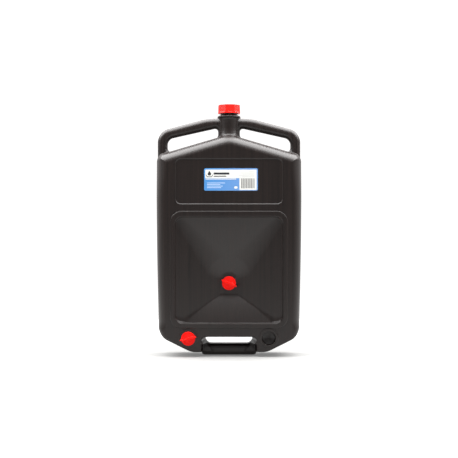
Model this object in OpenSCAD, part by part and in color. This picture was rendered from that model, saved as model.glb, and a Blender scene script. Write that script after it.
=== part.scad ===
// Oil drain pan: a blow-moulded container that lies on its back to catch oil
// and stands upright to store and pour it. Shown standing on its lower grip.
// X to the right, Y to the back (the catch pan faces -Y), Z up. Millimetres.

/* [Container] */
// Width of the container at its widest
body_width = 370; // [300:1:450]
// Depth of the container between its flat front and back
body_depth = 110; // [80:1:160]
// Height at which the shoulder meets the neck's axis
shoulder_top = 571.3; // [450:0.1:700]
// Fall of each shoulder from the neck to the side
shoulder_angle = 16.4; // [5:0.1:30]
// Height at which the sides begin to taper
taper_start = 324; // [200:1:450]
// Width between the sides where they meet the bottom slopes
foot_width = 356; // [280:1:440]
// Height of the corner between the side and the bottom slope
foot_corner = 54; // [20:1:90]
// Angle of the bottom slopes from level
foot_angle = 26; // [10:1:45]
// Height of the container's flat underside above the rest face
foot_clear = 12; // [2:1:20]
// Radius along the front and back edges of the shoulder and sides
edge_r = 27; // [6:1:30]
// Radius along the edges of the bottom slopes
foot_edge_r = 5; // [2:1:12]
// Radius of the bottom corners in the front view
foot_corner_r = 27; // [10:1:40]
// Radius of the shoulder corners in the front view
shoulder_corner_r = 16; // [6:1:30]
// Thickness of the moulded wall
wall = 2.2; // [1.5:0.1:4]
// Height of the flat rest panel raised on the back
back_pad = 2.5; // [1:0.5:6]

/* [Catch pan] */
// Width of the pan's raised rim, outside
pan_rim_w = 300; // [220:1:340]
// Width of the pan inside the rim
pan_w = 277; // [200:1:320]
// Lower and upper edge of the rim, outside
pan_rim_z = [74, 372]; // [0:1:600]
// Lower and upper edge of the pan, inside the rim
pan_z = [85, 358.5]; // [0:1:600]
// How far the rim stands out of the front
pan_rim = 2.5; // [1:0.5:6]
// Depth of the pan from the container's front
pan_depth = 35; // [20:1:70]
// Height of the drain hole's centre
drain_z = 187; // [120:1:300]
// Half width of the flat round the drain
drain_flat = 25; // [22:1:40]
// Lower edge of the flat round the drain
drain_flat_z = 156; // [130:1:165]

/* [Label panel] */
// Width and height of the shallow panel
panel_size = [274, 116]; // [50:1:300]
// Height of the panel's lower edge
panel_z = 390.5; // [380:0.5:450]
// Depth of the panel
panel_sink = 1.8; // [0.5:0.1:4]
// Label width and height
label_size = [137, 57]; // [30:1:250]
// Label centre, across and up
label_at = [5, 453]; // [-100:0.5:500]
// Label thickness
label_t = 0.2; // [0.1:0.05:0.5]

/* [Handles] */
// Radius of the upper handle's tube
tube_r = 12.75; // [9:0.25:18]
// Distance of the upright tube from the neck's axis
post_x = 172.25; // [120:0.25:180]
// Outside radius of the handle's corner
handle_outer_r = 27; // [16:0.5:40]
// Corner radius of the hand holes at their outer end
hole_outer_r = 14.5; // [6:0.5:16]
// Corner radius of the hand holes at the neck
hole_inner_r = 10.5; // [5:0.5:12]

/* [Lower grip] */
// Half width of the slot at the middle of its depth
slot_half = 62.5; // [50:1:90]
// Half width of the slot at the front and back
scoop_half = 71.5; // [55:1:95]
// Top of the slot at the middle of its depth and at the front and back
slot_top = [48.5, 54]; // [40:0.5:70]
// Height of the grip bar
grip_h = 30; // [18:1:32]
// Depth of the grip bar
grip_d = 46; // [24:1:60]

/* [Neck and cap] */
// Radius of the neck's bore
neck_bore_r = 18; // [12:0.5:25]
// Outside radius of the neck at its foot
neck_r = 21; // [15:0.5:28]
// Outside radius of the collar
collar_r = 29.5; // [24:0.5:35]
// Root radius of the neck thread
neck_thread_r = 21.6; // [16:0.1:28]
// Height of the neck's rim
neck_top = 643.5; // [600:1:700]
// Pitch of the neck thread
neck_pitch = 4; // [3:0.5:6]
// Underside and top of the cap
cap_z = [626, 648.5]; // [600:1:720]
// Radius of the cap over its lower bead
cap_r = 28.3; // [24:0.1:34]

/* [Plugs] */
// Radius of a plug's head
plug_r = 17.85; // [16:0.05:24]
// Thickness of a plug's head
plug_head = 4; // [3:0.5:8]
// Height of the finger wing on a plug's head
wing_h = 11; // [6:0.5:18]
// Root radius of a plug's stem
stem_r = 12.6; // [9:0.1:16]
// Length of a plug's stem behind its seat
stem_l = 15; // [10:0.5:22]
// Pitch of the plug threads
plug_pitch = 3; // [2:0.5:4]
// Position of the vent plug, across and up
vent_at = [-104, 47.4]; // [-160:0.1:80]
// Position of the parking cup, across and up
park_at = [101.5, 48]; // [-160:0.1:160]
// Radius of the parking cup
park_r = 17.25; // [14:0.25:22]
// Depth of the parking cup
park_depth = 14; // [8:1:25]
// Radius of the raised seat round the vent plug and the parking cup
seat_r = 24; // [20:0.5:28]

/* [Hidden] */
$fn = 64;
eps = 0.01;
big = 1600;
thread_z = neck_top - 14;
front = -body_depth / 2;
back = body_depth / 2;
gap = 0.1;
thread_h = 1.3;
seal_t = 2;
seat_y = front - 1;
drain_y = front + pan_depth;
label_y = front + panel_sink;
side_taper = atan((body_width / 2 - foot_width / 2) / (taper_start - foot_corner));
slope_bottom = [foot_width / 2 - (foot_corner - foot_clear) / tan(foot_angle), foot_clear];

// Right-hand edges of the front view: a point on the edge, the direction of
// its outward normal, and the radius along its front and back edges.
EDGES = [
  [[0, shoulder_top], 90 - shoulder_angle, edge_r],
  [[body_width / 2, taper_start], 0, edge_r],
  [[foot_width / 2, foot_corner], -side_taper, edge_r - 1],
  [[foot_width / 2, foot_corner], foot_angle - 90, foot_edge_r],
  [[0, foot_clear], -90, foot_edge_r],
];
function normal(a) = [cos(a), sin(a)];
// Where two edges meet once both are moved inwards by d
function meet(a, b, d) =
  let (na = normal(a[1]), nb = normal(b[1]),
       ca = na * a[0] - d, cb = nb * b[0] - d,
       det = na[0] * nb[1] - na[1] * nb[0])
  [(ca * nb[1] - cb * na[1]) / det, (na[0] * cb - nb[0] * ca) / det];

// ---------------------------------------------------------------- helpers
// A front-view shape given depth: 2-D x is X, 2-D y is Z
module sheet(y0, y1) {
  translate([0, y1, 0]) rotate([90, 0, 0]) linear_extrude(y1 - y0) children();
}

module rounded_rect(w, z0, z1, r) {
  translate([-w / 2 + r, z0]) square([w - 2 * r, z1 - z0]);
  translate([-w / 2, z0 + r]) square([w, z1 - z0 - 2 * r]);
  for (x = [-w / 2 + r, w / 2 - r], z = [z0 + r, z1 - r]) translate([x, z]) circle(r);
}

// Put a shape made along +Z on the front at a point, facing -Y
module facing(at, y) {
  translate([at[0], y, at[1]]) rotate([90, 0, 0]) children();
}

// One helical ridge, sunk 0.4 into the wall it stands on. out = 1 stands
// outwards from the radius, out = -1 inwards.
module thread(r, pitch, turns, z0, w_root, w_crest, out, start = 0) {
  n = ceil(turns * 30);
  base = r - out * 0.4;
  crest = r + out * thread_h;
  prof = out > 0
    ? [[base, -w_root / 2], [crest, -w_crest / 2], [crest, w_crest / 2], [base, w_root / 2]]
    : [[base, w_root / 2], [crest, w_crest / 2], [crest, -w_crest / 2], [base, -w_root / 2]];
  pts = [for (i = [0:n], p = prof)
    let (a = start + 360 * turns * i / n, z = z0 + pitch * turns * i / n + p[1])
    [p[0] * cos(a), p[0] * sin(a), z]];
  faces = concat(
    [[3, 2, 1], [3, 1, 0]],
    [for (i = [0:n - 1], k = [0:3], t = [0, 1])
      let (a = 4 * i + k, b = 4 * i + (k + 1) % 4)
      t == 0 ? [a, b, b + 4] : [a, b + 4, a + 4]],
    [[4 * n, 4 * n + 1, 4 * n + 2], [4 * n, 4 * n + 2, 4 * n + 3]]);
  polyhedron(pts, faces, convexity = 10);
}

// -------------------------------------------------------------- container
// Everything on the inner side of one edge, its two long edges rounded
module slab(edge, d) {
  r = edge[2] - d;
  y0 = front + d;
  y1 = back - d;
  at = edge[0] - d * normal(edge[1]);
  translate([at[0], 0, at[1]]) rotate([0, 180 - edge[1], 0])
    linear_extrude(big, center = true) {
      translate([0, y0 + r]) square([800, y1 - y0 - 2 * r]);
      translate([r, y0]) square([800 - r, y1 - y0]);
      for (y = [y0 + r, y1 - r]) translate([r, y]) circle(r);
    }
}

// What a rounded corner between two edges takes off
module corner_off(a, b, r, d) {
  c = meet(a, b, r);
  v = meet(a, b, 0);
  sheet(-200, 200) difference() {
    polygon([c, c + 1.6 * r * normal(a[1]), c + 1.7 * (v - c), c + 1.6 * r * normal(b[1])]);
    translate(c) circle(r - d);
  }
}

// The closed body without its pan, neck or handles, moved inwards by d
module body(d) {
  body_half(d);
  mirror([1, 0, 0]) body_half(d);
}
module body_half(d) {
  intersection() {
    difference() {
      intersection() {
        slab(EDGES[0], d);
        slab(EDGES[1], d);
        slab(EDGES[2], d);
        slab(EDGES[3], d);
        slab(EDGES[4], d);
      }
      corner_off(EDGES[0], EDGES[1], shoulder_corner_r, d);
      corner_off(EDGES[2], EDGES[3], foot_corner_r, d);
    }
    translate([0, -100, -10]) cube([300, 200, 700]);
  }
}

// The funnel of the catch pan. d = 0 is its surface, d = wall its far side.
module funnel(d) {
  hull() {
    sheet(front - pan_rim - (d > 0 ? 0 : 1), front - pan_rim + 3 + d)
      rounded_rect(pan_w + 2 * d, pan_z[0] - d, pan_z[1] + d, 21 + d);
    sheet(drain_y - 1, drain_y + d)
      translate([-drain_flat - d * 0.3, drain_flat_z - d * 0.5])
        square([2 * drain_flat + d * 0.6, 2 * (drain_z - drain_flat_z) + d]);
  }
}

// The slot over the lower grip, narrowest at the middle of the depth. d grows
// it by the wall.
module grip_space(d) {
  sheet(-8.01, 8.01) rounded_rect(2 * (slot_half + d), -30, slot_top[0] + d, 14 + d);
  for (m = [0, 1]) mirror([0, m, 0]) hull() {
    sheet(-8.01, -8) rounded_rect(2 * (slot_half + d), -30, slot_top[0] + d, 14 + d);
    sheet(front - 2.01, front - 2) rounded_rect(2 * (scoop_half + d), -30, slot_top[1] + d, 17 + d);
  }
}

// The grip bar across the slot, moved inwards by d
module grip_bar(d) {
  r = 12 - d;
  q = 5 - d;
  h = grip_d / 2 - d;
  top = grip_h - d;
  intersection() {
    translate([-100, 0, 0]) rotate([90, 0, 90]) linear_extrude(200) {
      translate([-h, q + d]) square([2 * h, top - r - q - d]);
      translate([q - h, d]) square([2 * (h - q), top - r - d]);
      translate([r - h, top - r - 1]) square([2 * (h - r), r + 1]);
      for (y = [-1, 1]) {
        translate([y * (h - q), q + d]) circle(q);
        translate([y * (h - r), top - r]) circle(r);
      }
    }
    sheet(-100, 100) rounded_rect(2 * (scoop_half - d), d, 80, 11 - d);
  }
}

// One half of the container's wall, without the pan: s = -1 front, 1 back
module shell_half(s) {
  difference() {
    union() {
      intersection() {
        body(0);
        translate([-300, s > 0 ? 0 : -100, -10]) cube([600, 100, 700]);
      }
      if (s > 0) sheet(back - 1, back + back_pad) rounded_rect(300, 70, 490, 30);
    }
    difference() {
      union() {
        body(wall);
        if (s > 0) sheet(back - wall - 1, back + back_pad - wall)
          rounded_rect(300 - 2 * wall, 70 + wall, 490 - wall, 30 - wall);
      }
      grip_space(wall);
      if (s < 0) sheet(front - 5, label_y + wall)
        rounded_rect(panel_size[0] + 2 * wall, panel_z - wall, panel_z + panel_size[1] + wall, 14 + wall);
    }
    grip_space(0);
    grip_bar(0);
    // the neck, and the passages into the two handles
    translate([0, 0, 500]) cylinder(h = 100, r = neck_r);
    for (x = [-post_x, post_x]) translate([x, 0, 500]) cylinder(h = 60, r = tube_r - wall - 1);
    if (s < 0) {
      sheet(front - 5, label_y)
        rounded_rect(panel_size[0], panel_z, panel_z + panel_size[1], 14);
      sheet(front - 10, front + 10) rounded_rect(pan_rim_w, pan_rim_z[0], pan_rim_z[1], 30);
      for (at = [vent_at, park_at]) facing(at, front + wall + 1) cylinder(h = 20, r = seat_r);
    }
  }
}
module front_shell() color("#2c2a29") shell_half(-1);
module rear_shell() color("#2a2928") shell_half(1);

module catch_pan() color("#302e2c") difference() {
  union() {
    sheet(front - pan_rim, front + wall) rounded_rect(pan_rim_w, pan_rim_z[0], pan_rim_z[1], 30);
    funnel(wall);
  }
  funnel(0);
  facing([0, drain_z], 10) cylinder(h = 40, r = 20);
}

module lower_grip() color("#282726") difference() {
  grip_bar(0);
  grip_bar(wall);
  // its hollow opens into the container at both ends
  sheet(-grip_d / 2 + 6, grip_d / 2 - 6) rounded_rect(2 * (scoop_half + 8), 11, grip_h - 8, 3);
}

// ----------------------------------------------------------- upper handles
// Lines of the front view of one handle: a point and the outward direction
HOLE_TOP = [[50, 584], 90 - 12.6];
HOLE_END = [[post_x - tube_r, 500], 0];
HOLE_FOOT = [[35, shoulder_top - 35 * tan(shoulder_angle)], -90 - shoulder_angle];
BAR_TOP = [[56, 613], 90 - 14.8];
POST_OUT = [[post_x + tube_r, 500], 0];
function arc_at(c, r, a) = [c[0] + r * cos(a), c[1] + r * sin(a)];
// Pairs of points, on the hole's side and on the outside, along the tube
function handle_pairs() =
  let (ci = meet(HOLE_TOP, HOLE_END, hole_outer_r),
       co = meet(BAR_TOP, POST_OUT, handle_outer_r),
       cf = meet(HOLE_END, HOLE_FOOT, hole_outer_r), n = 7)
  concat(
    [[[12, 592.5], [12, 611.5]], [[30, 588.5], [32, 612.6]], [[42, 585.8], [46, 613.4]],
     [[52, 583.5], [58, 612]], [[66, 580.4], [70, 609.3]]],
    [for (i = [0:n]) let (t = i / n)
      [arc_at(ci, hole_outer_r, (1 - t) * HOLE_TOP[1]), arc_at(co, handle_outer_r, (1 - t) * BAR_TOP[1])]],
    [for (i = [0:n]) let (t = i / n)
      [arc_at(cf, hole_outer_r, -t * 72), [post_x + tube_r, cf[1] - 4 - 30 * t]]]);

// A tube with a ring of points between each pair, moved inwards by d
module swept(pairs, depth_r, d, k = 28) {
  n = len(pairs);
  pts = [for (p = pairs)
    let (v = p[1] - p[0], l = norm(v), u = v / l, c = (p[0] + p[1]) / 2)
    for (j = [0:k - 1]) let (a = 360 * j / k, e = (l / 2 - d) * cos(a))
      [c[0] + e * u[0], (depth_r - d) * sin(a), c[1] + e * u[1]]];
  faces = concat(
    [for (j = [1:k - 2]) [0, j + 1, j]],
    [for (i = [0:n - 2], j = [0:k - 1], t = [0, 1])
      let (a = i * k + j, b = i * k + (j + 1) % k)
      t == 0 ? [a, b, b + k] : [a, b + k, a + k]],
    [for (j = [1:k - 2]) [(n - 1) * k, (n - 1) * k + j, (n - 1) * k + j + 1]]);
  polyhedron(pts, faces, convexity = 6);
}

module side_handle(m) mirror([m, 0, 0]) difference() {
  union() {
    swept(handle_pairs(), tube_r, 0);
    // web that rounds the hand hole's end beside the neck
    difference() {
      sheet(-9, 9) polygon([[neck_r - 2, 557], [38, 552], [38, 590], [neck_r - 2, 594]]);
      facing([28 + hole_inner_r, 575.5], 20) cylinder(h = 40, r = hole_inner_r);
    }
  }
  swept(handle_pairs(), tube_r, wall);
  body(0);
  neck_profile();
}
module left_handle() color("#2b2a2a") side_handle(1);
module right_handle() color("#2b2a2a") side_handle(0);

// ------------------------------------------------------------------- neck
module neck_profile() {
  rotate_extrude() {
    polygon([
      [0, 553], [neck_r, 553], [neck_r, 575],
      [25, 606], [25.6, 611.8], [collar_r, 616.6], [collar_r, 619],
      [neck_thread_r, 623.4], [neck_thread_r, neck_top - 0.8],
      [neck_thread_r - 0.8, neck_top], [0, neck_top],
    ]);
    difference() {
      translate([neck_r - 1, 557]) square([11, 16]);
      translate([neck_r + 10, 573]) circle(10);
    }
  }
}
module pour_neck() color("#2e2d2d") {
  difference() {
    union() {
      difference() {
        neck_profile();
        body(0);
      }
      translate([0, 0, 553]) cylinder(h = 40, r = neck_r);
    }
    translate([0, 0, 550]) cylinder(h = 110, r = neck_bore_r);
  }
  thread(neck_thread_r, neck_pitch, 2.5, thread_z, 2, 1, 1);
}

// ---------------------------------------------------- sockets for the plugs
// A raised seat on the front, cut off where the bottom slope passes it
module seat(at) {
  intersection() {
    facing(at, front + wall + 1) cylinder(h = front + wall + 1 - seat_y, r = seat_r);
    sheet(seat_y, front + 10) polygon([
      [-slope_bottom[0], foot_clear], [slope_bottom[0], foot_clear],
      [foot_width / 2, foot_corner], [foot_width / 2, 90], [-foot_width / 2, 90],
      [-foot_width / 2, foot_corner],
    ]);
  }
}
// The thread in a socket, with the socket's seat at 0
module socket_thread() {
  thread(stem_r + 1.7, plug_pitch, 3, -11.5, 1.5, 0.7, -1, 180);
}
module drain_socket() color("#2c2b2a") facing([0, drain_z], drain_y) {
  difference() {
    union() {
      translate([0, 0, -wall]) cylinder(h = wall, r = 20);
      translate([0, 0, -13]) cylinder(h = 13, r = 17.5);
    }
    translate([0, 0, -20]) cylinder(h = 40, r = stem_r + 1.7);
  }
  socket_thread();
}
module vent_socket() color("#2c2b2a") {
  difference() {
    union() {
      seat(vent_at);
      facing(vent_at, seat_y + 13) cylinder(h = 13, r = 17.5);
    }
    facing(vent_at, seat_y + 20) cylinder(h = 40, r = stem_r + 1.7);
  }
  facing(vent_at, seat_y) socket_thread();
}
module parking_cup() color("#2c2b2a") difference() {
  union() {
    seat(park_at);
    facing(park_at, seat_y + park_depth + wall) cylinder(h = park_depth + wall, r = park_r + wall);
  }
  facing(park_at, seat_y + park_depth) cylinder(h = 40, r = park_r);
}

// ------------------------------------------------------ cap, plugs, seals
module spout_cap() color("#e8322b") {
  h = cap_z[1] - cap_z[0];
  translate([0, 0, cap_z[0]]) {
    difference() {
      union() {
        // eight flats between eight ribs, a little narrower at the top
        intersection() {
          rotate([0, 0, -106]) linear_extrude(h) circle(r = cap_r + 0.9, $fn = 8);
          cylinder(h = h, r1 = cap_r - 0.3, r2 = cap_r - 1.3);
          translate([0, 0, h - 30]) cylinder(h = 30, r1 = cap_r + 26.7, r2 = cap_r - 2.7);
        }
        for (i = [0:7]) rotate([0, 0, -106 + 45 * i])
          translate([cap_r - 2.7, 0, 0]) intersection() {
            cylinder(h = h - 0.2, r = 2.2);
            translate([-5, -5, 0]) cube([10, 10, h]);
          }
        cylinder(h = 2.6, r = cap_r);
      }
      translate([0, 0, -1]) cylinder(h = h - 3.1 + 1, r = neck_thread_r + 1.7);
      // shallow dish in the top
      translate([0, 0, h - 0.8]) cylinder(h = 2, r = 20);
    }
    thread(neck_thread_r + 1.7, neck_pitch, 2.5, 4, 2, 1, -1, cap_phase());
  }
}
// Start angle that puts the cap's ridge midway between the neck's
function cap_phase() = 360 * (4 + cap_z[0] - thread_z) / neck_pitch + 180;

module cap_liner() color("#d9d7d0")
  translate([0, 0, neck_top + gap]) difference() {
    cylinder(h = cap_z[1] - 3.1 - neck_top - 2 * gap, r = neck_thread_r + 1.3);
    translate([0, 0, -1]) cylinder(h = 1.5, r = 15);
  }

// A plug: its seat at 0, its head towards +Z, its wing turned by angle
module plug(angle) {
  low = seal_t + 2 * gap;
  difference() {
    union() {
      // head with a rounded rim
      rotate_extrude() {
        translate([0, low]) square([plug_r - 1.5, plug_head]);
        translate([0, low]) square([plug_r, plug_head - 1.5]);
        translate([plug_r - 1.5, low + plug_head - 1.5]) circle(1.5);
      }
      translate([0, 0, -stem_l]) cylinder(h = stem_l + low + 1, r = stem_r);
      rotate([0, 0, angle]) wing(low + plug_head - 0.5);
      thread(stem_r, plug_pitch, 3, -11.5, 1.5, 0.7, 1);
    }
    // the stem is hollow from behind
    translate([0, 0, -stem_l - 1]) cylinder(h = stem_l + 2, r = stem_r - 3);
  }
}

// Finger wing: a straight ridge that bends a little to a point at each side
module wing(z) {
  translate([0, 0, z]) linear_extrude(wing_h)
    for (m = [0, 180]) rotate(m) polygon([
      [0, -2.4], [9, -1.7], [plug_r - 1, -1.9], [plug_r + 3.4, -1.2],
      [plug_r + 2.6, 0.4], [plug_r - 3, 1.6], [9, 2.3], [0, 2.4],
    ]);
}
module drain_plug() color("#f03a1e") facing([0, drain_z], drain_y) plug(-24.5);
module vent_plug() color("#f03a1e") facing(vent_at, seat_y) plug(11.5);

module gasket() {
  translate([0, 0, gap]) difference() {
    cylinder(h = seal_t, r = plug_r - 0.6);
    translate([0, 0, -1]) cylinder(h = seal_t + 2, r = stem_r + 2);
  }
}
module drain_gasket() color("#151515") facing([0, drain_z], drain_y) gasket();
module vent_gasket() color("#151515") facing(vent_at, seat_y) gasket();

module label() color("#4b96e6")
  translate([label_at[0], 0, 0])
    sheet(label_y - label_t, label_y)
      rounded_rect(label_size[0], label_at[1] - label_size[1] / 2, label_at[1] + label_size[1] / 2, 4);

front_shell();
rear_shell();
catch_pan();
pour_neck();
left_handle();
right_handle();
lower_grip();
drain_socket();
vent_socket();
parking_cup();
spout_cap();
cap_liner();
drain_plug();
drain_gasket();
vent_plug();
vent_gasket();
label();
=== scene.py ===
import math

import bpy
import numpy as np
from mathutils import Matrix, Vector


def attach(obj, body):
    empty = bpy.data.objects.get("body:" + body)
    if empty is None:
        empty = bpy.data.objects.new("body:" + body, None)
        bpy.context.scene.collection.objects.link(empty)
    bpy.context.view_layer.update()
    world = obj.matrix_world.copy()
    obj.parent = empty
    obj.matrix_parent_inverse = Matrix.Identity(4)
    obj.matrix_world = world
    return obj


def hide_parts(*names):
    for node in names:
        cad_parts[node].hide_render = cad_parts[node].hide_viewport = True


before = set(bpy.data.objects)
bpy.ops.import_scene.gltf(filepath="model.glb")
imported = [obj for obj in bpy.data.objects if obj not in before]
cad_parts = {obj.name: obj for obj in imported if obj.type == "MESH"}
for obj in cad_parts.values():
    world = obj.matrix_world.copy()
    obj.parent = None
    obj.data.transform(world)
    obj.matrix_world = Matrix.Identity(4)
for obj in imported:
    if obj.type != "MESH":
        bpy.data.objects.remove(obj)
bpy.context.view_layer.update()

MM = 0.001

# ------------------------------------------------------------------ distances
# Signed distances in mm, negative inside. Arrays or numbers.


def smin(a, b, k):
    h = np.clip(0.5 + 0.5 * (b - a) / k, 0.0, 1.0)
    return b + (a - b) * h - k * h * (1.0 - h)


def smax(a, b, k):
    return -smin(-a, -b, k)


def both(r, *ds):
    """Inside all of them, with outer edges rounded to r."""
    top = ds[0]
    square = 0.0
    for d in ds:
        top = np.maximum(top, d)
        square = square + np.maximum(d + r, 0.0) ** 2
    return np.minimum(top + r, 0.0) + np.sqrt(square) - r


def rrect(x, z, cx, cz, hx, hz, r):
    ax = np.abs(x - cx) - hx + r
    az = np.abs(z - cz) - hz + r
    outside = np.sqrt(np.maximum(ax, 0.0) ** 2 + np.maximum(az, 0.0) ** 2)
    return outside + np.minimum(np.maximum(ax, az), 0.0) - r


def edge(u, v, at, angle):
    """Distance past a line through at whose outward normal is at that angle."""
    a = math.radians(angle)
    return (u - at[0]) * math.cos(a) + (v - at[1]) * math.sin(a)


def polygon(u, v, pts):
    u, v = np.broadcast_arrays(u, v)
    d = np.full(u.shape, 1e9)
    inside = np.zeros(u.shape, dtype=bool)
    for i in range(len(pts)):
        (x0, y0), (x1, y1) = pts[i - 1], pts[i]
        ex, ey = x1 - x0, y1 - y0
        t = np.clip(((u - x0) * ex + (v - y0) * ey) / (ex * ex + ey * ey), 0, 1)
        d = np.minimum(d, (u - x0 - t * ex) ** 2 + (v - y0 - t * ey) ** 2)
        if y0 != y1:
            over = (y0 > v) != (y1 > v)
            inside ^= over & (u < x0 + ex * (v - y0) / ey)
    d = np.sqrt(d)
    return np.where(inside, -d, d)


def step(a, b, t):
    s = np.clip((t - a) / (b - a), 0.0, 1.0)
    return s * s * (3 - 2 * s)


# ------------------------------------------------------------------ container
HALF_D = 55.0
SHOULDER_TOP = 571.3
SHOULDER = 90 - 16.4
NECK_BORE = 18.0
DRAIN_Z = 187.0
DRAIN_Y = -20.0
VENT = (-104.0, 47.4)
PARK = (101.5, 48.0)
SEAT_Y = -56.0
TUBE_R = 12.75
NECK = [
    (-5, 540), (38, 540), (38, 549), (34.5, 552.5), (31.5, 556), (28.8, 560),
    (26.6, 564.3), (24.9, 569), (23.6, 574.5), (22.9, 580), (22.6, 586), (23.2, 594),
    (24.4, 603), (25.6, 610), (27.0, 614), (29.3, 616.4), (29.3, 618.2), (27.6, 619.6), (21.2, 621.8), (21.2, 643.1), (-5, 643.1),
]


def handles(x, y, z):
    ax = np.abs(x)
    top = edge(ax, z, (56, 613), 75.2)
    outer = both(27.0, top, ax - 185.0)
    outer = smax(outer, z - 613.2, 5)
    outer = np.maximum(outer, 505 - z)
    r = np.where(ax > 94, 14.5, 10.5)
    hole = both(
        r,
        edge(ax, z, (50, 584), 77.4),
        ax - 159.5,
        -edge(ax, z, (0, SHOULDER_TOP - 2), SHOULDER),
        28.0 - ax,
    )
    flat = smax(outer, -hole, 1.0)
    return np.sqrt(np.maximum(flat + TUBE_R, 0) ** 2 + (1.18 * y) ** 2) - TUBE_R


def pan(x, y, z):
    """The catch pan: a low wall inside the rim, then a funnel down to the flat round the drain."""
    wall = np.clip(y + 57.5, -2.0, 5.0) * 0.45
    t = np.clip((y + 52.5) / 32.5, 0.0, 1.0)
    t = (1.12 - 0.12 * t) * t
    hx = 138.5 - wall - 112.5 * t
    t0 = np.clip((y + 48.0) / 28.0, 0.0, 1.0)
    z0 = 85 + wall + 68.5 * (1.22 - 0.22 * t0) * t0
    z1 = 358.5 - wall - 138.5 * t
    cz = (z0 + z1) / 2
    hz = (z1 - z0) / 2
    r = np.where(z > cz, 20 + 40 * t, 20 * (1 - t) ** 3 + 1.0)
    r = np.minimum(r, 0.92 * np.minimum(hx, hz))
    cone = rrect(x, z, 0, cz, hx, hz, r) * 0.9
    return smax(cone, y - DRAIN_Y, 3.0)


def container(x, y, z):
    ax = np.sqrt(x * x + 64.0) - 1.5
    outline = smax(edge(ax, z, (185.7, 324), 0), edge(ax, z, (179.2, 54), -1.48), 4)
    outline = both(16.0, edge(ax, z, (0, SHOULDER_TOP), SHOULDER), outline)
    foot = edge(ax, z, (181.5, 54), -64)
    outline = both(21.0, outline, foot)
    outline = smax(outline, 12.0 - z, 5.0)
    r = 5.0 + 17.0 * step(38, 90, z) + 7.0 * step(400, 500, z)
    fall = 0.0011 * np.maximum(np.abs(x) - 118.0, 0.0) ** 2
    d = both(r, outline, (np.abs(y) - HALF_D + fall) * (1.0 - 0.25 * step(38, 90, z)))
    # rest panel on the back
    back = both(3.0, rrect(x, z, 0, 280, 150, 210, 30), y - HALF_D - 2.5, 40 - y)
    d = smin(d, back, 2.0)
    # rim of the pan, and the seats of the vent plug and the parking cup
    rim = both(1.2, rrect(x, z, 0, 223, 150, 149, 30), -57.5 - y, y + 45)
    d = smin(d, rim, 1.0)
    for cx, cz in (VENT, PARK):
        ring = both(1.0, np.hypot(x - cx, z - cz) - 24.5, SEAT_Y - y, y + 45)
        d = smin(d, np.maximum(ring, outline + 0.6), 1.2)
    # label panel
    panel = both(2.0, rrect(x, z, 0, 448.5, 137, 58, 14), y + HALF_D - 1.8)
    d = smax(d, -panel, 1.2)
    d = smax(d, -pan(x, y, z), 1.6)
    # neck and handles
    bars = handles(x, y, z)
    rr = np.hypot(x, y)
    neck = polygon(rr, z, NECK) - 0.4
    d = smin(d, bars, 3.0)
    d = smin(d, neck, 4.0)
    # slot, recesses and bar of the lower grip
    t = np.maximum(np.abs(y) - 8.0, 0.0) / 47.0
    top = 46.4 + 6.0 * t + np.where(y > 0, 8.0 * t, 0.0)
    slot = rrect(x, z, 0, (top - 60) / 2, 64.5 + 7 * t, (top + 60) / 2, 8 + 5 * t) * 0.97
    cheek = edge(np.abs(x), z, (58.0 + 11.0 * t, 38), -34.0)
    recess = smax(23.5 - np.abs(y), z - 32.5, 1.0)
    slot = both(3.0, slot, smin(cheek, recess, 1.0))
    d = smax(d, -slot, 2.5)
    sides = both(11.0, np.abs(x) - 71.5, -z)
    bar = both(5.0, both(12.0, sides, z - 31, np.abs(y) - 23), -z)
    d = smin(d, bar, 7.0)
    # bores
    for cx, cz, r, y1 in (
        (0, DRAIN_Z, 14.3, DRAIN_Y + 20),
        (*VENT, 14.3, SEAT_Y + 20),
        (*PARK, 17.25, SEAT_Y + 20),
    ):
        rb = np.hypot(x - cx, z - cz)
        bore = both(1.5, rb - r, y - y1 + 0.35 * rb * (cx > 0))
        d = smax(d, -bore, 1.4)
    d = smax(d, -both(1.0, rr - NECK_BORE, 552 - z), 1.0)
    # parting line of the mould
    seam = 0.32 * np.exp(-((y / 0.7) ** 2)) * step(10, 26, rr)
    return d - seam


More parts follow.
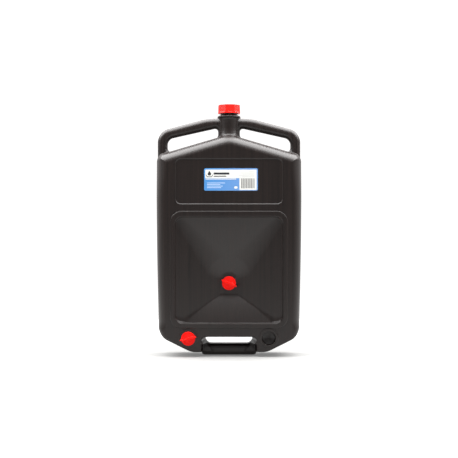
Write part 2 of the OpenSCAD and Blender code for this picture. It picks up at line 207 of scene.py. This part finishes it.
# ------------------------------------------------------------------- meshing
def surface(f, xs, ys, zs, rounds=3):
    """Surface nets over an uneven grid, with every vertex moved onto f = 0: vertices, faces, normals."""
    x, y, z = np.meshgrid(xs, ys, zs, indexing="ij", sparse=True)
    values = np.broadcast_to(f(x, y, z), (len(xs), len(ys), len(zs)))
    sign = values < 0
    shape = tuple(n - 1 for n in values.shape)
    corner = [(i, j, k) for i in (0, 1) for j in (0, 1) for k in (0, 1)]

    def at(a, c):
        return a[c[0] : c[0] + shape[0], c[1] : c[1] + shape[1], c[2] : c[2] + shape[2]]

    count = sum(at(sign, c).astype(np.int8) for c in corner)
    cell = np.argwhere((count > 0) & (count < 8))
    index = np.full(shape, -1, dtype=np.int64)
    index[tuple(cell.T)] = np.arange(len(cell))
    axes = (xs, ys, zs)
    total = np.zeros((len(cell), 3))
    hits = np.zeros(len(cell))
    for axis in range(3):
        for c in corner:
            if c[axis]:
                continue
            e = list(c)
            e[axis] = 1
            a = values[tuple((cell + c).T)]
            b = values[tuple((cell + e).T)]
            cross = (a < 0) != (b < 0)
            t = np.where(cross, a / np.where(cross, a - b, 1), 0)
            p = np.stack([axes[n][cell[:, n] + c[n]] for n in range(3)], axis=1)
            q = np.stack([axes[n][cell[:, n] + e[n]] for n in range(3)], axis=1)
            total += np.where(cross[:, None], p + (q - p) * t[:, None], 0)
            hits += cross
    v = total / hits[:, None]
    span = np.stack([np.diff(axes[n])[cell[:, n]] for n in range(3)], axis=1)
    start = v.copy()
    for _ in range(rounds):
        d = f(v[:, 0], v[:, 1], v[:, 2])
        g = gradient(f, v)
        g2 = np.maximum((g * g).sum(axis=1), 0.2)
        v = v - g * (d / g2)[:, None]
        v = np.clip(v, start - 0.9 * span, start + 0.9 * span)
    faces = []
    for axis in range(3):
        u, w = [n for n in range(3) if n != axis]
        lo = [slice(None)] * 3
        hi = [slice(None)] * 3
        lo[axis], hi[axis] = slice(0, -1), slice(1, None)
        change = sign[tuple(lo)] != sign[tuple(hi)]
        at_edge = np.argwhere(change)
        ok = (
            (at_edge[:, u] > 0) & (at_edge[:, w] > 0)
            & (at_edge[:, u] < shape[u]) & (at_edge[:, w] < shape[w])
        )
        at_edge = at_edge[ok]
        quad = []
        for du, dw in ((-1, -1), (0, -1), (0, 0), (-1, 0)):
            n = at_edge.copy()
            n[:, u] += du
            n[:, w] += dw
            quad.append(index[tuple(n.T)])
        quad = np.stack(quad, axis=1)
        solid_first = sign[tuple(at_edge.T)]
        flip = solid_first if axis == 1 else ~solid_first
        quad[flip] = quad[flip][:, ::-1]
        faces.append(quad)
    g = gradient(f, v, 0.3)
    return v, np.concatenate(faces), g / np.maximum(np.linalg.norm(g, axis=1), 1e-6)[:, None]


def gradient(f, v, h=0.15):
    g = np.empty_like(v)
    for n in range(3):
        p, q = v.copy(), v.copy()
        p[:, n] += h
        q[:, n] -= h
        g[:, n] = (f(*p.T) - f(*q.T)) / (2 * h)
    return g


def ticks(*runs):
    """Grid positions from (start, end, spacing) runs that follow one another."""
    out = []
    for a, b, s in runs:
        n = max(1, round((b - a) / s))
        out.extend(np.linspace(a, b, n + 1)[(1 if out else 0) :])
    return np.array(out)


def thread(base, height, pitch, turns, z0, root, crest, out, start=0.0):
    """One helical ridge round +Z, in mm, sunk a little into the wall it stands on."""
    n = int(turns * 48)
    v, faces = [], []
    for i in range(n + 1):
        a = math.radians(start + 360 * turns * i / n)
        fade = min(1.0, i / 10, (n - i) / 10)
        r0 = base - out * 0.4
        r1 = base + out * (0.05 + height * fade)
        z = z0 + pitch * turns * i / n
        ring = [(r0, -root / 2), (r1, -crest / 2), (r1, crest / 2), (r0, root / 2)]
        if out < 0:
            ring.reverse()
        for r, dz in ring:
            v.append((r * math.cos(a), r * math.sin(a), z + dz))
    for i in range(n):
        for k in range(4):
            a, b = 4 * i + k, 4 * i + (k + 1) % 4
            faces.append((a, a + 4, b + 4, b))
    faces.append((0, 1, 2, 3))
    faces.append(tuple(4 * n + k for k in (3, 2, 1, 0)))
    return np.array(v), faces


def facing(v, at, y):
    """Turns points made round +Z to face -Y, about a point of the front."""
    return np.stack([v[:, 0] + at[0], y - v[:, 2], v[:, 1] + at[1]], axis=1)


def build(name, parts, material, sharp=None):
    """One mesh object from (vertices in mm, faces, normals if known) parts."""
    verts, faces, normals, base = [], [], [], 0
    for v, f, *known in parts:
        normals.append(known[0] if known else np.zeros((len(v), 3)))
        verts.append(np.asarray(v) * MM)
        faces.extend([tuple(int(i) + base for i in q) for q in f])
        base += len(v)
    mesh = bpy.data.meshes.new(name)
    mesh.from_pydata(np.concatenate(verts).tolist(), [], faces)
    mesh.validate()
    mesh.polygons.foreach_set("use_smooth", [True] * len(mesh.polygons))
    if sharp is not None:
        mesh.set_sharp_from_angle(angle=math.radians(sharp))
    mesh.update()
    mesh.normals_split_custom_set_from_vertices(np.concatenate(normals).tolist())
    mesh.materials.append(material)
    obj = bpy.data.objects.new(name, mesh)
    bpy.context.scene.collection.objects.link(obj)
    return obj


# ----------------------------------------------------------------- materials
def material(name):
    m = bpy.data.materials.new(name)
    m.use_nodes = True
    nodes, links = m.node_tree.nodes, m.node_tree.links
    return m, nodes, links, nodes["Principled BSDF"]


def plastic(name, colour, rough, spec=0.5):
    m, nodes, links, bsdf = material(name)
    bsdf.inputs["Base Color"].default_value = (*colour, 1)
    bsdf.inputs["Roughness"].default_value = rough
    bsdf.inputs["Specular IOR Level"].default_value = spec
    return m


def streaked(name, colour, rough, spec):
    """Black moulded plastic with faint upright flow marks."""
    m, nodes, links, bsdf = material(name)
    coord = nodes.new("ShaderNodeTexCoord")
    marks = []
    for scale, detail in (((230, 60, 1.6), 3), ((620, 160, 7.0), 2)):
        stretch = nodes.new("ShaderNodeMapping")
        stretch.inputs["Scale"].default_value = scale
        noise = nodes.new("ShaderNodeTexNoise")
        noise.inputs["Scale"].default_value = 1.0
        noise.inputs["Detail"].default_value = detail
        links.new(coord.outputs["Object"], stretch.inputs["Vector"])
        links.new(stretch.outputs["Vector"], noise.inputs["Vector"])
        marks.append(noise.outputs["Fac"])
    mean = nodes.new("ShaderNodeMath")
    mean.operation = "ADD"
    links.new(marks[0], mean.inputs[0])
    links.new(marks[1], mean.inputs[1])

    def vary(socket, lo, hi):
        n = nodes.new("ShaderNodeMapRange")
        for key, value in (("From Min", 0.7), ("From Max", 1.3), ("To Min", lo), ("To Max", hi)):
            n.inputs[key].default_value = value
        links.new(mean.outputs[0], n.inputs["Value"])
        links.new(n.outputs["Result"], socket)

    tint = nodes.new("ShaderNodeMix")
    tint.data_type = "RGBA"
    vary(tint.inputs[0], 0, 1)
    tint.inputs[6].default_value = (*[c * 0.55 for c in colour], 1)
    tint.inputs[7].default_value = (*[c * 1.45 for c in colour], 1)
    links.new(tint.outputs[2], bsdf.inputs["Base Color"])
    vary(bsdf.inputs["Roughness"], rough - 0.035, rough + 0.035)
    bsdf.inputs["Specular IOR Level"].default_value = spec
    return m


HDPE = streaked("black_hdpe", (0.0080, 0.0040, 0.0031), 0.37, 0.46)
CAP_RED = plastic("cap_red", (0.72, 0.010, 0.005), 0.35, 0.3)
PLUG_RED = plastic("plug_red", (0.90, 0.004, 0.0), 0.42, 0.22)
RUBBER = plastic("rubber", (0.01, 0.01, 0.01), 0.6)
FOAM = plastic("foam", (0.68, 0.66, 0.61), 0.8)

# ----------------------------------------------------------------- container
half_x = [(0, 34, 1.6), (34, 60, 3.4), (60, 80, 1.5), (80, 132, 2.6),
          (132, 158, 1.2), (158, 190, 1.7)]
xs = ticks(*half_x)
xs = np.concatenate([-xs[:0:-1], xs])
ys = ticks((-60.3, -50, 0.8), (-50, -31, 2.4), (-31, -8, 1.5), (-8, -1.6, 1.6), (-1.6, 1.6, 0.4),
           (1.6, 31, 1.8), (31, 50, 2.7), (50, 60.5, 0.9))
zs = ticks((-2.2, 60, 1.5), (60, 92, 1.2), (92, 150, 3), (150, 222, 2.4),
           (222, 350, 5), (350, 396, 1.2), (396, 498, 4), (498, 512, 1.2),
           (512, 562, 1.8), (562, 612, 1.5), (612, 624, 0.8), (624, 646, 1.3))
tank_mesh = surface(container, xs, ys, zs)
neck_thread = thread(21.2, 1.5, 4.0, 2.5, 629.5, 2.0, 1.0, 1)
plug_threads = []
for at, y in (((0, DRAIN_Z), DRAIN_Y), (VENT, SEAT_Y)):
    v, f = thread(14.3, 1.3, 3.0, 3, -11.5, 1.5, 0.7, -1, 180)
    plug_threads.append((facing(v, at, y), f))
tank = build("container_moulding", [tank_mesh, neck_thread, *plug_threads], HDPE)
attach(tank, "container")
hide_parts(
    "front_shell", "rear_shell", "catch_pan", "pour_neck", "left_handle",
    "right_handle", "lower_grip", "drain_socket", "vent_socket", "parking_cup",
)

# ------------------------------------------------------------ cap and plugs
CAP_Z = 626.0
CAP_H = 22.5


def cap(x, y, z):
    """Eight flats with a rib at each corner, a lower bead, and the bore for the neck."""
    r = np.hypot(x, y)
    flats = None
    ribs = None
    for i in range(8):
        a = math.radians(-83.5 + 45 * i)
        side = x * math.cos(a) + y * math.sin(a) - 27.9
        flats = side if flats is None else smax(flats, side, 1.4)
        b = math.radians(-106 + 45 * i)
        rib = np.hypot(x - 27.9 * math.cos(b), y - 27.9 * math.sin(b)) - 1.5
        ribs = rib if ribs is None else np.minimum(ribs, rib)
    lean = flats + 0.045 * (z - 4)
    d = both(1.5, lean, z - CAP_H)
    d = smin(d, both(0.5, ribs + 0.05 * (z - 4), z - CAP_H + 0.9), 1.0)
    d = smin(d, both(1.2, r - 28.6, z - 2.6), 2.0)
    d = np.maximum(d, -z)
    d = smax(d, -both(0.8, r - 23.3, z - CAP_H + 3.1), 0.5)
    return smax(d, -both(0.8, r - 20.0, CAP_H - 0.8 - z), 0.8)


ring = ticks((-29.6, 29.6, 0.95))
v, f, n = surface(cap, ring, ring, ticks((-0.9, 24.3, 0.75)))
cap_parts = [(v + [0, 0, CAP_Z], f, n)]
v, f = thread(23.3, 1.3, 4.0, 2.5, CAP_Z + 4, 2.0, 1.0, -1, 225)
cap_parts.append((v, f))
spout_cap = build("cap_moulding", cap_parts, CAP_RED)
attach(spout_cap, "spout_cap")
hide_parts("spout_cap")


def plug_shape(angle):
    """A plug with its seat at w = 0 and its finger wing turned by angle."""
    c, s = math.cos(math.radians(angle)), math.sin(math.radians(angle))

    def plug(u, v, w):
        r = np.hypot(u, v)
        along = u * c + v * s
        across = -u * s + v * c
        head = both(1.3, r - 17.85, np.abs(w - 4.2) - 2.0)
        head = smax(head, -both(1.0, r - 15.2, 5.3 - w), 0.8)
        reach = np.abs(along) / 21.0
        half = 2.3 - 1.5 * np.clip(reach, 0, 1.2) ** 2
        bend = across - 1.1 * np.sin(along / 21.0 * math.pi)
        top = 15.9 - 2.2 * reach**2
        wing = both(0.8, np.abs(bend) - half - 0.10 * (14 - w), np.abs(along) - 21.0, w - top, 3.0 - w)
        d = smin(head, wing, 2.2)
        stem = both(0.6, r - 12.6, -14.9 - w, w - 4)
        d = smin(d, stem, 0.4)
        return smax(d, -both(0.6, r - 9.6, w - 0.9), 0.4)

    return plug


for body, at, y, angle in (
    ("drain_plug", (0, DRAIN_Z), DRAIN_Y, -24.5),
    ("vent_plug", VENT, SEAT_Y, 11.5),
):
    across = ticks((-22.6, 22.6, 0.8))
    v, f, n = surface(plug_shape(angle), across, across, ticks((-15.8, 0, 1.6), (0, 17.2, 0.7)))
    tv, tf = thread(12.6, 1.3, 3.0, 3, -11.5, 1.5, 0.7, 1)
    solid = (facing(v, at, y), f, facing(n, (0, 0), 0))
    piece = build(body + "_moulding", [solid, (facing(tv, at, y), tf)], PLUG_RED)
    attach(piece, body)
    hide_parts(body)

for node, mat in (("cap_liner", FOAM), ("drain_gasket", RUBBER), ("vent_gasket", RUBBER)):
    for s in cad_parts[node].material_slots:
        s.material = mat

# --------------------------------------------------------------------- label
LABEL = (5.0, 453.0, 137.0, 57.0)  # centre across and up, width, height


def flat(name, boxes, y, mat, corner=0.0, turn=0.0):
    """Flat print: rectangles (across, up, width, height) in mm from the label's centre."""
    parts = []
    for x, z, w, h in boxes:
        r = min(corner, w / 2, h / 2)
        ring = []
        for cx, cz, a0 in ((1, 1, 0), (-1, 1, 90), (-1, -1, 180), (1, -1, 270)):
            for k in range(7 if r > 0.2 else 1):
                a = math.radians(a0 + 15 * k)
                ring.append((
                    LABEL[0] + x + cx * (w / 2 - r) + r * math.cos(a),
                    y,
                    LABEL[1] + z + cz * (h / 2 - r) + r * math.sin(a),
                ))
        parts.append((np.array(ring), [tuple(range(len(ring)))]))
    obj = build(name, parts, mat)
    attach(obj, "container")
    return obj


def print_ink(name, colour, rough=0.35):
    return plastic(name, colour, rough, 0.4)


def blue_field():
    """Blue that grows paler from the left to the right of the label."""
    m, nodes, links, bsdf = material("label_blue")
    coord = nodes.new("ShaderNodeTexCoord")
    split = nodes.new("ShaderNodeSeparateXYZ")
    ramp = nodes.new("ShaderNodeValToRGB")
    at = nodes.new("ShaderNodeMapRange")
    at.inputs["From Min"].default_value = (LABEL[0] - 68) * MM
    at.inputs["From Max"].default_value = (LABEL[0] + 68) * MM
    ramp.color_ramp.elements[0].color = (0.072, 0.27, 0.62, 1)
    ramp.color_ramp.elements[1].color = (0.15, 0.31, 0.64, 1)
    ramp.color_ramp.elements[1].position = 0.75
    links.new(coord.outputs["Object"], split.inputs[0])
    links.new(split.outputs["X"], at.inputs["Value"])
    links.new(at.outputs["Result"], ramp.inputs["Fac"])
    links.new(ramp.outputs["Color"], bsdf.inputs["Base Color"])
    bsdf.inputs["Roughness"].default_value = 0.3
    return m


LABEL_Y = -53.42
BLUE = blue_field()
WHITE = print_ink("label_white", (0.78, 0.79, 0.76))
GREY = print_ink("label_grey", (0.13, 0.12, 0.12))
DARK = print_ink("label_dark", (0.03, 0.03, 0.035))
PALE = print_ink("label_pale", (0.55, 0.68, 0.88))
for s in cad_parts["label"].material_slots:
    s.material = BLUE
flat("label_band", [(0, 14.2, 131, 21.5)], LABEL_Y, WHITE, 1)
flat("label_code_box", [(43.5, -11.5, 44, 30.5)], LABEL_Y, WHITE, 1)
bars, x = [], 26.0
for w in (1.8, 1.1, 2.4, 1.3, 2.0, 1.1, 2.6, 1.3, 2.1, 1.2, 1.9):
    bars.append((x + w / 2, -10.0, w, 25))
    x += w + 1.5
flat("label_bars", bars, LABEL_Y - 0.03, GREY)
flat("label_rows", [(-38 - (46 - w) / 2, z, w, 1.5) for z, w in
                    ((-9, 46), (-13, 34), (-17, 40), (-21, 36))], LABEL_Y, PALE)
flat("label_title", [(-26, 1.2, 78, 2.2)], LABEL_Y - 0.03, WHITE)
flat("label_spot", [(12.5, -20.5, 9, 6)], LABEL_Y, WHITE, 3)
flat("label_notes", [(38 + (46 - w) / 2 - 1, z, w, 1.0) for z, w in
                     ((20.5, 14), (16.5, 34), (13.5, 30), (10.5, 40), (7.5, 32))],
     LABEL_Y - 0.03, print_ink("label_faint", (0.6, 0.61, 0.6)))


def drop_icon():
    """A plain oil drop over a shallow pan."""
    cx, cz = LABEL[0] - 55, LABEL[1] + 14
    ring = []
    for k in range(36):
        a = 2 * math.pi * k / 36
        point = max(0.0, math.sin(a)) ** 3
        ring.append((cx + 4.2 * math.cos(a) * (1 - 0.5 * point), LABEL_Y - 0.03,
                     cz + 4.2 * math.sin(a) + 3.6 * point))
    pan_ring = [(cx - 9, LABEL_Y - 0.03, cz - 2), (cx - 7.5, LABEL_Y - 0.03, cz - 2),
                (cx - 5.5, LABEL_Y - 0.03, cz - 6.2), (cx + 5.5, LABEL_Y - 0.03, cz - 6.2),
                (cx + 7.5, LABEL_Y - 0.03, cz - 2), (cx + 9, LABEL_Y - 0.03, cz - 2),
                (cx + 6.5, LABEL_Y - 0.03, cz - 8), (cx - 6.5, LABEL_Y - 0.03, cz - 8)]
    icon = build("label_icon", [
        (np.array(ring), [tuple(range(36))]),
        (np.array(pan_ring), [(0, 7, 2, 1), (2, 7, 6, 3), (3, 6, 5, 4)]),
    ], DARK)
    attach(icon, "container")


drop_icon()
flat("label_heading", [(-24, 15.0, 40, 5.2), (-28, 8.2, 32, 2.2)], LABEL_Y - 0.03, DARK)

# --------------------------------------------------------------------- stage
def sheet(name, corners, mat):
    mesh = bpy.data.meshes.new(name)
    mesh.from_pydata(corners, [], [(0, 1, 2, 3)])
    mesh.materials.append(mat)
    obj = bpy.data.objects.new(name, mesh)
    bpy.context.scene.collection.objects.link(obj)
    return obj


def table_with_painted_shadow():
    """A white table whose glow is painted low under the object, a painted shadow round its base, and higher
    away from it.
    """
    m, nodes, links, bsdf = material("table_white_painted_shadow")
    coord = nodes.new("ShaderNodeTexCoord")
    squash = nodes.new("ShaderNodeMapping")
    # the painted shadow's centre sits 8 cm behind the object, so the painted shadow reaches further behind
    # it than in front
    squash.inputs["Location"].default_value = (0.0, -0.08, 0.0)
    squash.inputs["Scale"].default_value = (1.2, 1.0, 0.0)
    away = nodes.new("ShaderNodeVectorMath")
    away.operation = "LENGTH"
    painted_shadow_glow = nodes.new("ShaderNodeMapRange")
    painted_shadow_glow.interpolation_type = "SMOOTHSTEP"
    # emission 0.17 close to the object rising to 0.75 away from it: a painted shadow on the floor
    for key, value in (("From Min", 0.13), ("From Max", 0.62), ("To Min", 0.17), ("To Max", 0.75)):
        painted_shadow_glow.inputs[key].default_value = value
    links.new(coord.outputs["Object"], squash.inputs["Vector"])
    links.new(squash.outputs["Vector"], away.inputs[0])
    links.new(away.outputs["Value"], painted_shadow_glow.inputs["Value"])
    links.new(painted_shadow_glow.outputs["Result"], bsdf.inputs["Emission Strength"])
    bsdf.inputs["Emission Color"].default_value = (1, 1, 0.99, 1)
    bsdf.inputs["Base Color"].default_value = (0.31, 0.31, 0.305, 1)
    bsdf.inputs["Roughness"].default_value = 0.9
    bsdf.inputs["Specular IOR Level"].default_value = 0.1
    return m


# floor carrying the painted shadow round the object's base
sheet("floor", [(-1.9, -1.4, 0), (1.9, -1.4, 0), (1.9, 1.1, 0), (-1.9, 1.1, 0)],
      table_with_painted_shadow())


def studio_world():
    """A white tent: bright overhead and behind, softer at the sides, with a wide soft patch in front.

    It has no panels to stand between the object and a camera, and is plain white where it is seen directly.
    """
    world = bpy.data.worlds.new("studio")
    bpy.context.scene.world = world
    world.use_nodes = True
    nodes, links = world.node_tree.nodes, world.node_tree.links

    def calc(op, a, b=None):
        n = nodes.new("ShaderNodeMath")
        n.operation = op
        for i, v in enumerate((a, b)):
            if isinstance(v, (int, float)):
                n.inputs[i].default_value = v
            elif v is not None:
                links.new(v, n.inputs[i])
        return n.outputs[0]

    def ramp(v, a, b, lo, hi):
        n = nodes.new("ShaderNodeMapRange")
        n.interpolation_type = "SMOOTHSTEP"
        links.new(v, n.inputs["Value"])
        for key, value in (("From Min", a), ("From Max", b), ("To Min", lo), ("To Max", hi)):
            n.inputs[key].default_value = value
        return n.outputs["Result"]

    coord = nodes.new("ShaderNodeTexCoord")
    split = nodes.new("ShaderNodeSeparateXYZ")
    links.new(coord.outputs["Generated"], split.inputs[0])
    x, y, z = split.outputs
    overhead = ramp(z, 0.3, 0.85, 0.0, TENT_TOP)
    behind = ramp(y, -1.0, 0.15, 0.0, TENT_SIDES)
    ahead = ramp(y, -0.97, -1.0, 0.0, TENT_FRONT)
    far = ramp(y, 0.45, 0.55, 0.0, TENT_FAR)
    total = calc("ADD", calc("ADD", overhead, behind), calc("ADD", calc("ADD", ahead, far), TENT_BASE))
    seen = nodes.new("ShaderNodeLightPath").outputs["Is Camera Ray"]
    total = calc("MAXIMUM", total, calc("MULTIPLY", seen, TENT_SEEN))
    links.new(total, nodes["Background"].inputs["Strength"])
    nodes["Background"].inputs["Color"].default_value = (1, 0.985, 0.98, 1)


TENT_BASE = 0.21
TENT_SIDES = 0.66
TENT_FRONT = 0.24
TENT_TOP = 1.05
TENT_FAR = 0.28
TENT_SEEN = 1.15
studio_world()


def area(name, at, target, size, energy, colour=(1, 1, 1)):
    data = bpy.data.lights.new(name, "AREA")
    data.shape = "RECTANGLE"
    data.size, data.size_y = size
    data.energy = energy
    data.color = colour
    obj = bpy.data.objects.new(name, data)
    bpy.context.scene.collection.objects.link(obj)
    obj.location = at
    direction = [t - a for t, a in zip(target, at)]
    obj.rotation_euler = Vector(direction).to_track_quat("-Z", "Y").to_euler()
    return obj


area("overhead", (0, -0.02, 1.0), (0, -0.02, 0), (2.2, 0.62), 38)

cam_data = bpy.data.cameras.new("camera")
cam_data.sensor_width = 36
CAM_DISTANCE = 2.8
FRAME_WIDTH = 1.191
cam_data.lens = 36 * CAM_DISTANCE / FRAME_WIDTH
cam_data.clip_end = 50
cam = bpy.data.objects.new("camera", cam_data)
bpy.context.scene.collection.objects.link(cam)
cam.location = (0, -CAM_DISTANCE, 0.3266)
cam.rotation_euler = (math.radians(90), 0, 0)
bpy.context.scene.camera = cam
bpy.context.scene.view_settings.view_transform = "Standard"
